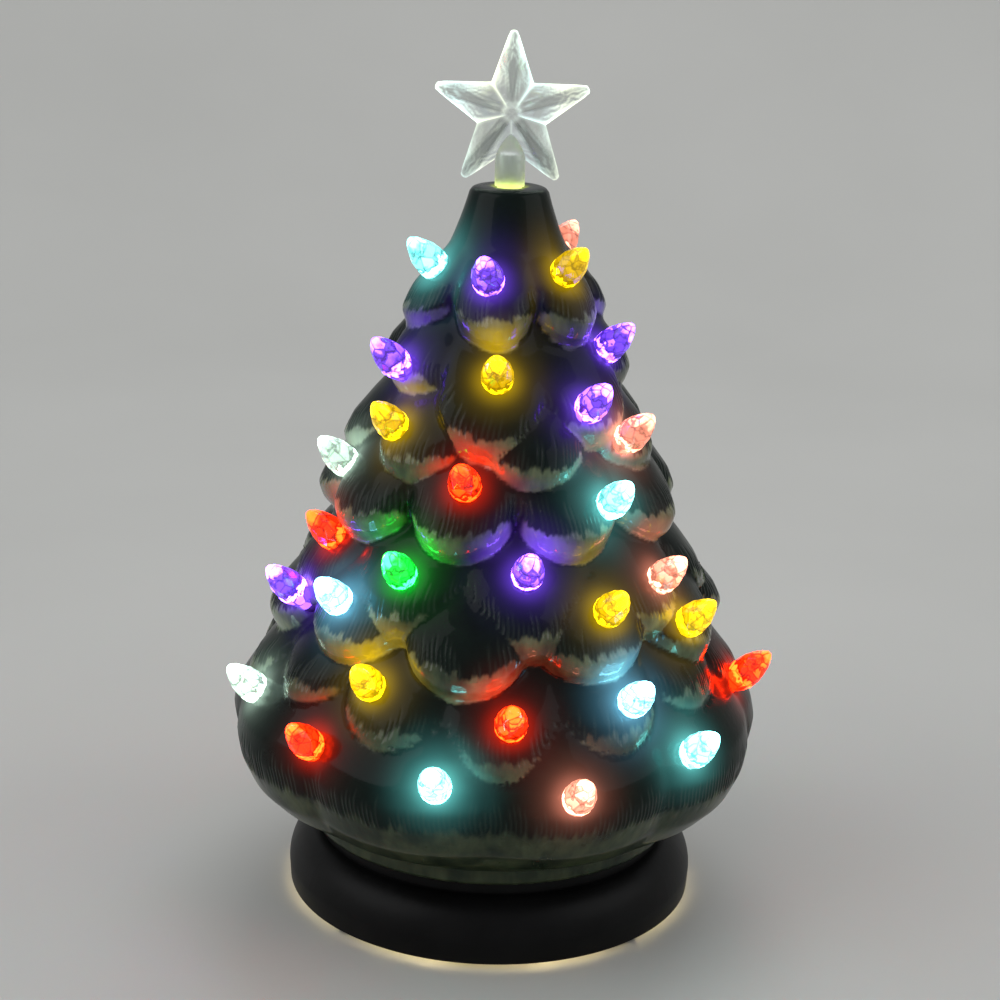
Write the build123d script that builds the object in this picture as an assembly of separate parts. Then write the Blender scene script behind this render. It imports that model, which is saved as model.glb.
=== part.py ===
from build123d import *
import os
from math import atan2, cos, degrees, pi, radians, sin

# Lit ceramic tabletop tree: a glazed hollow shell of drooping boughs, bored for push-in lamp pegs,
# standing on a black plinth that holds a battery light. Millimetres, +Z up, front towards -Y,
# origin at the middle of the surface that the tree stands on. Azimuth is measured from the front,
# positive towards +X.

# Whole object
TOTAL_HEIGHT = 381.0
WALL = 5.0

# Plinth
RIM_HEIGHT = 2.0
FOOT_RADIUS = 91.5
FOOT_WIDEST = 10.0
SHOULDER_RADIUS = 80.0
SHOULDER_HEIGHT = 28.0
NECK_RADIUS = 78.0
SEAT_HEIGHT = 34.0
PLINTH_WALL = 3.0
SPIGOT_RADIUS = 70.5
SPIGOT_HEIGHT = 6.0
SPIGOT_WALL = 2.5
SEAT_GAP = 0.5

# Rows of boughs from the crown down: boughs in the row, azimuth of the first one, radius and height
# of the bough tips, and how much lower the tips of single boughs hang, by their place in the row
BOUGH_ROWS = (
    {"count": 6, "first": -9, "radius": 45, "height": 262, "drops": {}},
    {"count": 7, "first": -6, "radius": 54, "height": 238, "drops": {0: 21, 1: 17}},
    {"count": 7, "first": 14, "radius": 68, "height": 206, "drops": {}},
    {"count": 9, "first": -14, "radius": 80, "height": 181, "drops": {}},
    {"count": 9, "first": 10, "radius": 91, "height": 146, "drops": {0: 3}},
    {"count": 10, "first": -8, "radius": 101, "height": 129, "drops": {1: -5, 9: -5}},
    {"count": 13, "first": 2, "radius": 109, "height": 101, "drops": {0: 7, 2: -7, 11: -7}},
)
TAPER = 0.45
NOTCH_DEPTH = 0.26
NOTCH_RISE = 0.22
# Rings of a bough from its shoulder over its nose to its lip: how far in and up from the tip they lie, and
# their shares of the notches' depth and rise
BOUGH_RINGS = (
    (22.0, 33.0, 0.3, 0.2),
    (12.0, 22.0, 0.5, 0.4),
    (4.0, 12.0, 0.8, 0.75),
    (0.0, 3.0, 1.0, 1.0),
    (2.2, -3.5, 1.0, 1.0),
    (7.0, -8.0, 0.9, 1.0),
)
ROOT_IN = 32.0
ROOT_UP = 42.0
HEEL_IN = 30.0
HEEL_DOWN = 22.0

# Skirt below the boughs
SKIRT_LOBES = 9
SKIRT_FIRST = 19.5
SKIRT_RADIUS = 118.5
SKIRT_HEIGHT = 81.0
SKIRT_SCALLOP = 4.5
# Rings of the skirt: how far in and up from its widest place they lie, and their share of the scallops
SKIRT_RINGS = (
    (9.0, 20.0, 0.8),
    (2.0, 9.0, 1.0),
    (0.0, 0.0, 1.0),
    (1.5, -9.0, 1.0),
    (7.0, -20.5, 0.8),
    (16.0, -29.5, 0.5),
)
SKIRT_RIM_RADIUS = 89.0
SKIRT_RIM_HEIGHT = 44.0
FOOT_RING_RADIUS = 83.0

# Crown
CROWN_HEIGHT = 317.0
CROWN_RADIUS = 17.0
CROWN_BORE = 5.6

# Lamp pegs: azimuth and height of each lamp on the tree, by colour, the front of the tree first
LAMPS = {
    "red": (
        (-12, 206), (-65, 175), (4, 117), (-42, 96), (80, 106),
        (148, 250), (218, 203), (130, 172), (224, 118), (183, 95),
    ),
    "yellow": (
        (46, 288), (-3, 251), (-46, 224), (31, 156), (57, 142), (-31, 126),
        (200, 250), (210, 172), (140, 118),
    ),
    "green": ((-29, 170), (194, 288), (186, 203), (168, 118)),
    "teal": ((-66, 288), (38, 196), (-11, 90), (47, 94), (170, 172)),
    "blue": ((-46, 152), (34, 121), (168, 222), (208, 152), (150, 95)),
    "purple": (
        (-12, 285), (-55, 247), (70, 257), (38, 235), (9, 175), (-66.5, 146),
        (146, 203), (172, 152),
    ),
    "pink": ((137, 290), (53, 219), (53, 163), (17, 85), (220, 222), (196, 118)),
    "clear": ((-71, 202), (-70, 102), (136, 152), (215, 95)),
}
LAMP_CONE = ((120, 60), (112, 96), (97, 135), (91, 150), (85, 165), (70, 205), (54, 250), (33, 295))
LAMP_SIDES = 6
LAMP_RADIUS = 6.8
LAMP_LENGTH = 17.0
LAMP_PROFILE = ((LAMP_RADIUS, 0), (LAMP_RADIUS, 5), (5.0, 11.5), (1.7, LAMP_LENGTH))
SEAT_REACH = 4.0
PEG_RADIUS = 3.9
PEG_LENGTH = 11.0
PEG_BORE = 4.2
LAMP_ELEVATION = 45.0
LAMP_LIFT = 0.15
BORE_DEPTH = 32.0

# Star
STAR_RADIUS = 33.5
STAR_INNER_RADIUS = 15.0
STAR_EDGE = 3.0
STAR_DEPTH = 7.0
STAR_TIP = 3.0
STEM_RADIUS = 6.3
STEM_PEG_RADIUS = 5.2
STEM_PEG_LENGTH = 14.0
STEM_SIDE = 13.0
STEM_TOP = 12.0
STEM_BORE = 3.6

# Light tray and battery box
TRAY_RADIUS = 77.5
TRAY_TOP = 25.0
TRAY_THICKNESS = 2.5
BOSS_CIRCLE = 73.5
BOSS_RADIUS = 4.0
BOSS_BORE = 1.3
SCREW_RADIUS = 1.2
SCREW_HEAD = 3.0
SCREW_HOLE = 1.7
WINDOW_COUNT = 8
WINDOW_CIRCLE = 58.0
WINDOW_RADIUS = 10.5
BOX_LENGTH = 62.0
BOX_WIDTH = 50.0
BOX_WALL = 1.8
BOX_BOTTOM = 6.0
RAIL = 2.5
RAIL_LOW = 7.5
RAIL_HIGH = 9.0
COVER_GAP = 0.3
COVER_WALL = 1.6
GRIP_RIBS = 4

# Cells
CELL_RADIUS = 7.15
CELL_LENGTH = 49.2
CELL_NUB_RADIUS = 2.75
CELL_NUB_LENGTH = 1.2
CELL_PITCH = 15.2
CELL_HEIGHT = 14.5
CONTACT_WIDTH = 10.0
LEAF_WIDTH = 5.0
TAIL_WIDTH = 2.5
TAIL_THICKNESS = 0.5
TAIL_GAP = 0.8
TAIL_TOP = 28.0
TAIL_X = BOX_LENGTH / 2 - BOX_WALL - TAIL_THICKNESS / 2
TAIL_PLACES = ((TAIL_X, -CELL_PITCH), (-TAIL_X, CELL_PITCH))

# Light
PILLAR_RADIUS = 17.0
PILLAR_TOP = 28.0
PILLAR_WALL = 2.0
BOARD_RADIUS = 16.5
BOARD_THICKNESS = 1.6
LED_RADIUS = 2.5
LED_LENGTH = 8.6
LED_CIRCLE = 8.0
LED_COUNT = 4
DOME_RADIUS = 21.0
DOME_WALL = 1.5
DOME_SIDE = 7.0

# Switch
SWITCH_X = 8.5
SWITCH_Y = 36.0
SWITCH_SIZE = (11.6, 6.4, 5.5)
SWITCH_TRAVEL = 4.0
KNOB_SIZE = (3.6, 3.0)
KNOB_FLANGE = 1.8
KNOB_LOW = 11.5
PIN_PLACES = (SWITCH_X - 2.5, SWITCH_X + 2.5)
PIN_WIDTH = 1.2
PIN_THICKNESS = 0.6

# Feet
FOOT_PAD_RADIUS = 5.0
FOOT_PAD_HEIGHT = 3.0
FOOT_PAD_CIRCLE = 83.5

LEAD_RADIUS = 0.7
LEAD_SLOT = 2.4


def polar(radius, azimuth, height):
    """Point at an azimuth from the front of the tree."""
    angle = radians(azimuth)
    return Vector(radius * sin(angle), -radius * cos(angle), height)


def disc(radius, low, high, x=0, y=0):
    """Upright cylinder between two heights."""
    return Pos(x, y, (low + high) / 2) * Cylinder(radius, high - low)


def block(size, centre):
    """Box of a size round a centre."""
    return Pos(*centre) * Box(*size)


# Boughs


def lobed_ring(azimuths, tips, notches):
    """Closed ring of arcs, one over each bough, that meet in the notches between boughs."""
    arcs = []
    for k, azimuth in enumerate(azimuths):
        following = (k + 1) % len(azimuths)
        half = 180 / len(azimuths)
        start = polar(notches[k][0], azimuth - half, notches[k][1])
        end = polar(notches[following][0], azimuth + half, notches[following][1])
        arcs.append(ThreePointArc(start, polar(tips[k][0], azimuth, tips[k][1]), end))
    return Wire(arcs)


def even_ring(azimuths, radius, height):
    """Plain circle, cut at the same azimuths as the lobed rings of its row."""
    corner = [(radius, height)] * len(azimuths)
    return lobed_ring(azimuths, corner, corner)


def bough_row(row):
    """One row of boughs: root ring, shoulders, noses, drooping lips and the heel inside the next row."""
    count = row["count"]
    azimuths = [row["first"] + 360 / count * k for k in range(count)]
    drops = [row["drops"].get(k, 0) for k in range(count)]
    radii = [row["radius"] + TAPER * drop for drop in drops]
    heights = [row["height"] - drop for drop in drops]
    width = 2 * pi * row["radius"] / count

    def section(inward, upward, depth, rise):
        tips = [(radii[k] - inward, heights[k] + upward) for k in range(count)]
        notches = []
        for k in range(count):
            radius = (radii[k] + radii[k - 1]) / 2 - inward - depth * NOTCH_DEPTH * width
            height = (heights[k] + heights[k - 1]) / 2 + upward + rise * NOTCH_RISE * width
            notches.append((radius, height))
        return lobed_ring(azimuths, tips, notches)

    low = row["height"] - max(drops)
    root = even_ring(azimuths, row["radius"] - ROOT_IN, row["height"] + ROOT_UP)
    heel = even_ring(azimuths, row["radius"] - HEEL_IN, low - HEEL_DOWN)
    return Solid.make_loft([root, *[section(*ring) for ring in BOUGH_RINGS], heel], ruled=True)


def skirt():
    """Lowest tier: a bowl with shallow scallops that turns in under itself to its rim."""
    step = 360 / SKIRT_LOBES
    azimuths = [SKIRT_FIRST + step * k for k in range(SKIRT_LOBES)]

    def section(inward, upward, share):
        scallop = share * SKIRT_SCALLOP
        tip = (SKIRT_RADIUS - inward, SKIRT_HEIGHT + upward)
        notch = (tip[0] - scallop, tip[1] + scallop / 2)
        return lobed_ring(azimuths, [tip] * SKIRT_LOBES, [notch] * SKIRT_LOBES)

    root = even_ring(azimuths, SKIRT_RADIUS - 40, SKIRT_HEIGHT + 60)
    rim = even_ring(azimuths, SKIRT_RIM_RADIUS, SKIRT_RIM_HEIGHT)
    return Solid.make_loft([root, *[section(*ring) for ring in SKIRT_RINGS], rim], ruled=True)


def crown():
    """Plain tapering top of the tree, rounded over at its edge."""
    with BuildPart() as part:
        with BuildSketch(Plane.XZ):
            with BuildLine():
                top = Line((0, CROWN_HEIGHT), (CROWN_RADIUS - 3, CROWN_HEIGHT))
                edge = RadiusArc(top @ 1, (CROWN_RADIUS, CROWN_HEIGHT - 3), 3)
                flare = ThreePointArc(edge @ 1, (CROWN_RADIUS + 4.6, 300), (33, 276))
                Polyline(flare @ 1, (0, 276), top @ 0)
            make_face()
        revolve(axis=Axis.Z)
    return part.part


def cavity():
    """Inside of the casting, following the rows a wall in from the notches, open at the foot ring."""
    bore = SPIGOT_RADIUS + SEAT_GAP
    floor = SKIRT_RIM_HEIGHT + WALL
    profile = [
        (0, SEAT_HEIGHT - 5),
        (bore, SEAT_HEIGHT - 5),
        (bore, floor),
        (84, floor),
        (94, 56.5),
        (102, 66),
        (106.5, 76),
        (107, 86),
        (99, 104),
        (85, 125),
        (77, 138),
        (77, 150),
        (69, 166),
        (57, 179),
        (57, 205),
        (46.5, 214),
        (46, 229),
        (31.5, 247),
        (24.5, 257),
        (24.5, 276),
        (15, 304),
        (0, 304),
    ]
    with BuildPart() as part:
        with BuildSketch(Plane.XZ):
            with BuildLine():
                Polyline(*profile, close=True)
            make_face()
        revolve(axis=Axis.Z)
    return part.part


def foot_ring():
    """Plain ring under the skirt that stands on the plinth's seat."""
    return disc(FOOT_RING_RADIUS, SEAT_HEIGHT, SKIRT_RIM_HEIGHT + 1)


def casting():
    """Solid outside of the tree before it is hollowed and bored."""
    rows = [bough_row(row) for row in BOUGH_ROWS]
    return rows[0].fuse(*rows[1:], skirt(), crown(), foot_ring())


# Lamps


def lamp_axis(azimuth):
    """Direction in which a lamp points: outward and up."""
    up = radians(LAMP_ELEVATION)
    outward = polar(1, azimuth, 0)
    return outward * cos(up) + Vector(0, 0, sin(up))


def cone_radius(height):
    """Radius of the lamps' cone at a height."""
    low, high = next(pair for pair in zip(LAMP_CONE, LAMP_CONE[1:]) if pair[1][1] >= height)
    share = (height - low[1]) / (high[1] - low[1])
    return low[0] + share * (high[0] - low[0])


def lamp_frame(surface, azimuth, height):
    """Frame where a lamp's flange rests on the highest glaze beneath it, its Z along the lamp."""
    axis = lamp_axis(azimuth)
    aim = Plane(
        polar(cone_radius(height), azimuth, height),
        x_dir=axis.cross(Vector(0, 0, 1)),
        z_dir=axis,
    )

    def glaze(x, y):
        probe = Axis(aim.from_local_coords(Vector(x, y, 0)), axis)
        levels = [aim.to_local_coords(point).Z for point, _ in surface.find_intersection_points(probe)]
        return max(level for level in levels if level < LAMP_LENGTH)

    middle = glaze(0, 0)
    turns = [k * pi / 3 for k in range(6)]
    edge = [glaze(LAMP_RADIUS * cos(turn), LAMP_RADIUS * sin(turn)) for turn in turns]
    level = max([middle] + [height for height in edge if height < middle + SEAT_REACH])
    return aim.offset(level + LAMP_LIFT)


def lamp():
    """Faceted flame-shaped lamp with a flat flange and a plain peg behind it, seated at the origin."""
    body = extrude(RegularPolygon(PEG_RADIUS, LAMP_SIDES), -PEG_LENGTH)
    for (radius, low), (end_radius, high) in zip(LAMP_PROFILE, LAMP_PROFILE[1:]):
        slope = (radius - end_radius) * cos(pi / LAMP_SIDES) / (high - low)
        outline = Pos(0, 0, low) * RegularPolygon(radius, LAMP_SIDES)
        body += extrude(outline, high - low, taper=degrees(atan2(slope, 1)))
    return body.solid()


def lamp_bore():
    """Hole through the wall for one peg."""
    return extrude(RegularPolygon(PEG_BORE, LAMP_SIDES), -BORE_DEPTH).solid()


def tree_and_lamps():
    """Hollow bored tree, and its lamps by colour."""
    outside = casting()
    surface = outside.shells()[0]
    frames = {
        colour: [lamp_frame(surface, azimuth, height) for azimuth, height in places]
        for colour, places in LAMPS.items()
    }
    bore = lamp_bore()
    bores = [frame.location * bore for group in frames.values() for frame in group]
    crown_bore = disc(CROWN_BORE, CROWN_HEIGHT - 20, CROWN_HEIGHT + 1)
    tree = outside.cut(cavity(), crown_bore, *bores)
    peg = lamp()
    lamps = {
        colour: Compound([frame.location * peg for frame in group])
        for colour, group in frames.items()
    }
    return tree, lamps


# Star


def star_outline():
    """Corners of a five-point star with blunt points: two at each point and one between points."""
    corners = []
    for k in range(5):
        turn = pi / 2 + 2 * pi / 5 * k
        point = Vector(STAR_RADIUS * cos(turn), STAR_RADIUS * sin(turn))
        across = Vector(sin(turn), -cos(turn)) * STAR_TIP / 2
        between = turn + pi / 5
        corners += [point + across, point - across]
        corners.append(Vector(STAR_INNER_RADIUS * cos(between), STAR_INNER_RADIUS * sin(between)))
    return corners


def star():
    """Clear moulded star: ridged front and back, and a hollow stem that drops into the crown."""
    upright = Plane((0, 0, TOTAL_HEIGHT - STAR_RADIUS), x_dir=(1, 0, 0), z_dir=(0, -1, 0))
    corners = star_outline()

    def facet(*points):
        return Face(Wire.make_polygon([upright.from_local_coords(point) for point in points]))

    half_edge = Vector(0, 0, STAR_EDGE / 2)
    hub = Vector(0, 0, STAR_DEPTH)
    facets = []
    for start, end in zip(corners, corners[1:] + corners[:1]):
        facets.append(facet(start + half_edge, end + half_edge, hub))
        facets.append(facet(start - half_edge, end - half_edge, -hub))
        facets.append(facet(start - half_edge, end - half_edge, end + half_edge, start + half_edge))
    body = Solid(Shell(facets))
    with BuildPart() as stem:
        with BuildSketch(Plane.XZ):
            with BuildLine():
                Polyline(
                    (0, CROWN_HEIGHT - STEM_PEG_LENGTH),
                    (STEM_PEG_RADIUS, CROWN_HEIGHT - STEM_PEG_LENGTH),
                    (STEM_PEG_RADIUS, CROWN_HEIGHT),
                    (STEM_RADIUS, CROWN_HEIGHT),
                    (STEM_RADIUS, CROWN_HEIGHT + STEM_SIDE),
                    (0.6 * STEM_RADIUS, CROWN_HEIGHT + STEM_SIDE + 0.7 * STEM_TOP),
                    (0, CROWN_HEIGHT + STEM_SIDE + STEM_TOP),
                    close=True,
                )
            make_face()
        revolve(axis=Axis.Z)
    bore = disc(STEM_BORE, CROWN_HEIGHT - STEM_PEG_LENGTH, CROWN_HEIGHT + STEM_SIDE)
    return (body + stem.part - bore).solid()


# Plinth


def round_pattern(count, radius, first=45):
    """Points evenly round the axis."""
    turns = [radians(first + 360 / count * k) for k in range(count)]
    return [(radius * cos(turn), radius * sin(turn)) for turn in turns]


def plinth():
    """Hollow moulded base, open below: rounded foot, neck in a step, seat, and a spigot for the tree."""
    inner_foot = FOOT_RADIUS - PLINTH_WALL
    inner_neck = NECK_RADIUS - PLINTH_WALL
    inner_spigot = SPIGOT_RADIUS - SPIGOT_WALL
    spigot_top = SEAT_HEIGHT + SPIGOT_HEIGHT
    under_seat = SEAT_HEIGHT - PLINTH_WALL
    with BuildPart() as part:
        with BuildSketch(Plane.XZ):
            with BuildLine():
                wall = Line((FOOT_RADIUS - 0.5, RIM_HEIGHT), (FOOT_RADIUS, FOOT_WIDEST))
                foot = ThreePointArc(wall @ 1, (FOOT_RADIUS - 3.4, 21), (SHOULDER_RADIUS, SHOULDER_HEIGHT))
                Polyline(
                    foot @ 1,
                    (NECK_RADIUS, SHOULDER_HEIGHT),
                    (NECK_RADIUS, SEAT_HEIGHT),
                    (SPIGOT_RADIUS, SEAT_HEIGHT),
                    (SPIGOT_RADIUS, spigot_top),
                    (inner_spigot, spigot_top),
                    (inner_spigot, under_seat),
                    (inner_neck, under_seat),
                    (inner_neck, SHOULDER_HEIGHT - 1),
                    (inner_neck + 4, SHOULDER_HEIGHT - 2.8),
                    (inner_foot - 3.5, FOOT_WIDEST + 10.5),
                    (inner_foot, FOOT_WIDEST + 3),
                    (inner_foot, RIM_HEIGHT),
                    wall @ 0,
                )
            make_face()
        revolve(axis=Axis.Z)
    body = part.part
    for x, y in round_pattern(4, BOSS_CIRCLE):
        body += disc(BOSS_RADIUS, TRAY_TOP, under_seat + 1, x, y)
        body -= disc(BOSS_BORE, TRAY_TOP, under_seat, x, y)
    for x, y in round_pattern(4, FOOT_PAD_CIRCLE):
        body += disc(FOOT_PAD_RADIUS + 1.5, RIM_HEIGHT, RIM_HEIGHT + 6, x, y)
        body -= disc(FOOT_PAD_RADIUS + 0.2, RIM_HEIGHT, FOOT_PAD_HEIGHT, x, y)
    return body.solid()


def foot_pad(x, y):
    """Soft round foot, pressed into its recess under the rim."""
    return disc(FOOT_PAD_RADIUS, 0, FOOT_PAD_HEIGHT, x, y).solid()


# Light tray


def tray():
    """Plate across the neck with light windows, the battery box under it and the board's pillar on it."""
    low = TRAY_TOP - TRAY_THICKNESS
    body = disc(TRAY_RADIUS, low, TRAY_TOP)
    for x, y in round_pattern(WINDOW_COUNT, WINDOW_CIRCLE, first=22.5):
        body -= disc(WINDOW_RADIUS, low, TRAY_TOP, x, y)
    for x, y in round_pattern(4, BOSS_CIRCLE):
        body -= disc(SCREW_HOLE, low, TRAY_TOP, x, y)
    box_height = low - BOX_BOTTOM
    box_middle = (0, 0, BOX_BOTTOM + box_height / 2)
    box_inside = (BOX_LENGTH - 2 * BOX_WALL, BOX_WIDTH - 2 * BOX_WALL, box_height)
    body += block((BOX_LENGTH, BOX_WIDTH, box_height), box_middle)
    body -= block(box_inside, box_middle)
    rail_size = (BOX_LENGTH, RAIL, RAIL_HIGH - RAIL_LOW)
    for side in (1, -1):
        body += block(rail_size, (0, side * (BOX_WIDTH + RAIL) / 2, (RAIL_HIGH + RAIL_LOW) / 2))
    body += disc(PILLAR_RADIUS, TRAY_TOP, PILLAR_TOP)
    body -= disc(PILLAR_RADIUS - PILLAR_WALL, TRAY_TOP, PILLAR_TOP)
    body -= lead_slots(PILLAR_RADIUS, PILLAR_TOP)
    for x, y in TAIL_PLACES:
        body -= block((TAIL_GAP + TAIL_THICKNESS, TAIL_GAP + TAIL_WIDTH, 8), (x, y, TRAY_TOP - 1))
    for x in PIN_PLACES:
        body -= block((PIN_WIDTH + TAIL_GAP, PIN_THICKNESS + TAIL_GAP, 8), (x, SWITCH_Y, TRAY_TOP - 1))
    return body.solid()


def lead_slots(radius, top):
    """Notches that let the two board leads through a round wall."""
    height = top - TRAY_TOP
    size = (10, LEAD_SLOT, height)
    straight = block(size, (radius, 0, TRAY_TOP + height / 2))
    return [
        Rot(0, 0, 90) * Pos(0, -PIN_PLACES[0], 0) * straight,
        Rot(0, 0, degrees(atan2(TAIL_PLACES[1][1], TAIL_PLACES[1][0]))) * straight,
    ]


def tray_screws():
    """Pan-head screws that hold the tray up against the plinth's bosses."""
    low = TRAY_TOP - TRAY_THICKNESS
    screws = []
    for x, y in round_pattern(4, BOSS_CIRCLE):
        head = disc(SCREW_HEAD, low - 2, low, x, y)
        screws.append((head + disc(SCREW_RADIUS, low, SEAT_HEIGHT - 5, x, y)).solid())
    return Compound(screws)


def battery_cover():
    """Slip-on cover whose lips run above the rails of the battery box."""
    outer = BOX_WIDTH / 2 + RAIL + COVER_GAP
    inner = BOX_WIDTH / 2 + COVER_GAP + 0.1
    top = BOX_BOTTOM - COVER_GAP
    lip_low = RAIL_HIGH + COVER_GAP + 0.1
    lip_high = lip_low + COVER_WALL
    end_wall = BOX_LENGTH / 2 + COVER_GAP
    length = BOX_LENGTH / 2 + 1 + end_wall + COVER_WALL
    middle = end_wall + COVER_WALL - length / 2
    body = block((length, 2 * (outer + COVER_WALL), 2), (middle, 0, top - 1))
    wall = (length, COVER_WALL, lip_high - top)
    lip = (length, outer - inner, COVER_WALL)
    for side in (1, -1):
        body += block(wall, (middle, side * (outer + COVER_WALL / 2), (lip_high + top) / 2))
        body += block(lip, (middle, side * (outer + inner) / 2, lip_low + COVER_WALL / 2))
    stop = (COVER_WALL, 2 * outer, lip_high - top)
    body += block(stop, (end_wall + COVER_WALL / 2, 0, (lip_high + top) / 2))
    for k in range(GRIP_RIBS):
        body += block((1, 24, 0.8), (end_wall - 4 - 2.5 * k, 0, top - 2.4))
    return body.solid()


def cell(place):
    """Round cell lying along X, its nub to the right on every other one."""
    y = CELL_PITCH * (place - 1)
    turn = 90 if place % 2 == 0 else -90
    body = Cylinder(CELL_RADIUS, CELL_LENGTH)
    body += Pos(0, 0, (CELL_LENGTH + CELL_NUB_LENGTH) / 2) * Cylinder(CELL_NUB_RADIUS, CELL_NUB_LENGTH)
    return (Pos(0, y, CELL_HEIGHT) * Rot(0, turn, 0) * body).solid()


def contact(side, places, tail):
    """Sprung strip against an end wall of the box, with a leaf for each cell and a tail to solder to."""
    wall = side * (BOX_LENGTH / 2 - BOX_WALL - TAIL_THICKNESS / 2)
    ys = [CELL_PITCH * (place - 1) for place in places]
    width = max(ys) - min(ys) + CONTACT_WIDTH
    middle = (max(ys) + min(ys)) / 2
    body = block((TAIL_THICKNESS, width, 13), (wall, middle, CELL_HEIGHT))
    for place, y in zip(places, ys):
        nub_side = 1 if place % 2 == 0 else -1
        reach = CELL_LENGTH / 2 + (CELL_NUB_LENGTH if nub_side == side else 0)
        length = BOX_LENGTH / 2 - BOX_WALL - TAIL_THICKNESS - reach
        leaf = Plane.XZ * Polygon((0, 3), (0, -3), (-side * length, 0), align=None)
        inner_face = side * (reach + length)
        body += Pos(inner_face, y, CELL_HEIGHT) * extrude(leaf, LEAF_WIDTH / 2, both=True)
    if tail:
        low = CELL_HEIGHT + 6
        body += block((TAIL_THICKNESS, TAIL_WIDTH, TAIL_TOP - low), (wall, middle, (TAIL_TOP + low) / 2))
    return body.solid()


# Light


def led_board():
    """Round board on the pillar."""
    return disc(BOARD_RADIUS, PILLAR_TOP, PILLAR_TOP + BOARD_THICKNESS).solid()


def led(x, y):
    """Small lamp with a bevelled top."""
    low = PILLAR_TOP + BOARD_THICKNESS
    lens = disc(LED_RADIUS, low, low + LED_LENGTH, x, y)
    return chamfer(lens.edges().group_by(Axis.Z)[-1], 1.2).solid()


def light_dome():
    """Frosted dome over the board, standing on the tray."""

    def bell(radius):
        side = disc(radius, TRAY_TOP, TRAY_TOP + DOME_SIDE)
        shoulder = Pos(0, 0, TRAY_TOP + DOME_SIDE + radius / 4) * Cone(radius, 0.85 * radius, radius / 2)
        cap = Pos(0, 0, TRAY_TOP + DOME_SIDE + 0.7 * radius) * Cone(0.85 * radius, 0.35 * radius, 0.4 * radius)
        return side + shoulder + cap

    hollow = bell(DOME_RADIUS) - bell(DOME_RADIUS - DOME_WALL)
    return (hollow - lead_slots(DOME_RADIUS, PILLAR_TOP)).solid()


# Switch


def switch_body():
    """Slide switch under the tray: a box with a slot for the knob and two pins up through the tray."""
    height = SWITCH_SIZE[2]
    low = TRAY_TOP - TRAY_THICKNESS - height
    reach = KNOB_SIZE[0] + SWITCH_TRAVEL
    body = block(SWITCH_SIZE, (SWITCH_X, SWITCH_Y, low + height / 2))
    body -= block((reach + 1, KNOB_SIZE[1] + 0.6, 4), (SWITCH_X, SWITCH_Y, low))
    body -= block((reach + KNOB_FLANGE + 1, KNOB_SIZE[1] + 2, 2.2), (SWITCH_X, SWITCH_Y, low + 2.3))
    pin_top = TAIL_TOP - 0.2
    pin_low = low + height - 1
    for x in PIN_PLACES:
        body += block((PIN_WIDTH, PIN_THICKNESS, pin_top - pin_low), (x, SWITCH_Y, (pin_top + pin_low) / 2))
    return body.solid()


def switch_knob():
    """Sliding knob, at its off end, held in the switch by its flange."""
    low = TRAY_TOP - TRAY_THICKNESS - SWITCH_SIZE[2]
    x = SWITCH_X - SWITCH_TRAVEL / 2
    top = low + 1.6
    body = block((*KNOB_SIZE, top - KNOB_LOW), (x, SWITCH_Y, (top + KNOB_LOW) / 2))
    body += block((KNOB_SIZE[0] + KNOB_FLANGE, KNOB_SIZE[1] + 1.4, 1.4), (x, SWITCH_Y, top + 0.7))
    return body.solid()


# Leads


def lead(start, end):
    """Straight insulated wire."""
    path = Line(start, end)
    return sweep((Plane(path @ 0, z_dir=path % 0) * Circle(LEAD_RADIUS)).face(), path=path).solid()


def leads():
    """Wires from the cells to the switch and the board."""
    height = PILLAR_TOP - LEAD_RADIUS
    tail_x, tail_y = TAIL_PLACES[0]
    pin_left, pin_right = PIN_PLACES
    inward = Vector(*TAIL_PLACES[1]).normalized()
    edge = Vector(*TAIL_PLACES[1]).length - 0.65
    return {
        "lead_positive": lead(
            (tail_x, tail_y + TAIL_WIDTH / 2 + 0.25, height),
            (pin_right + PIN_WIDTH / 4, SWITCH_Y - PIN_THICKNESS / 2 - 0.25, height),
        ),
        "lead_switch": lead(
            (pin_left, SWITCH_Y - PIN_THICKNESS / 2, height),
            (pin_left, BOARD_RADIUS / 2, height),
        ),
        "lead_negative": lead(
            (inward.X * edge, inward.Y * edge, height),
            (inward.X * BOARD_RADIUS / 2, inward.Y * BOARD_RADIUS / 2, height),
        ),
    }


def main():
    """Write every piece."""
    tree, lamps = tree_and_lamps()
    nodes = {
        "tree_shell": tree,
        "star_topper": star(),
        "base_plinth": plinth(),
        "light_tray": tray(),
        "tray_screws": tray_screws(),
        "battery_cover": battery_cover(),
        "contact_positive": contact(1, [0], tail=True),
        "contact_bridge_right": contact(1, [1, 2], tail=False),
        "contact_bridge_left": contact(-1, [0, 1], tail=False),
        "contact_negative": contact(-1, [2], tail=True),
        "led_board": led_board(),
        "light_dome": light_dome(),
        "switch_body": switch_body(),
        "switch_knob": switch_knob(),
    }
    nodes.update({f"{colour}_lamps": group for colour, group in lamps.items()})
    nodes.update({f"cell_{place + 1}": cell(place) for place in range(3)})
    for k, (x, y) in enumerate(round_pattern(LED_COUNT, LED_CIRCLE)):
        nodes[f"led_{k + 1}"] = led(x, y)
    for k, (x, y) in enumerate(round_pattern(4, FOOT_PAD_CIRCLE)):
        nodes[f"foot_pad_{k + 1}"] = foot_pad(x, y)
    nodes.update(leads())
    os.makedirs("parts", exist_ok=True)
    for name, shape in nodes.items():
        export_step(shape, f"parts/{name}.step")


if __name__ == "__main__":
    main()
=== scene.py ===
import math
import random

import bmesh
import bpy
import numpy as np
from mathutils import Matrix, Vector
from mathutils.kdtree import KDTree


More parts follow.
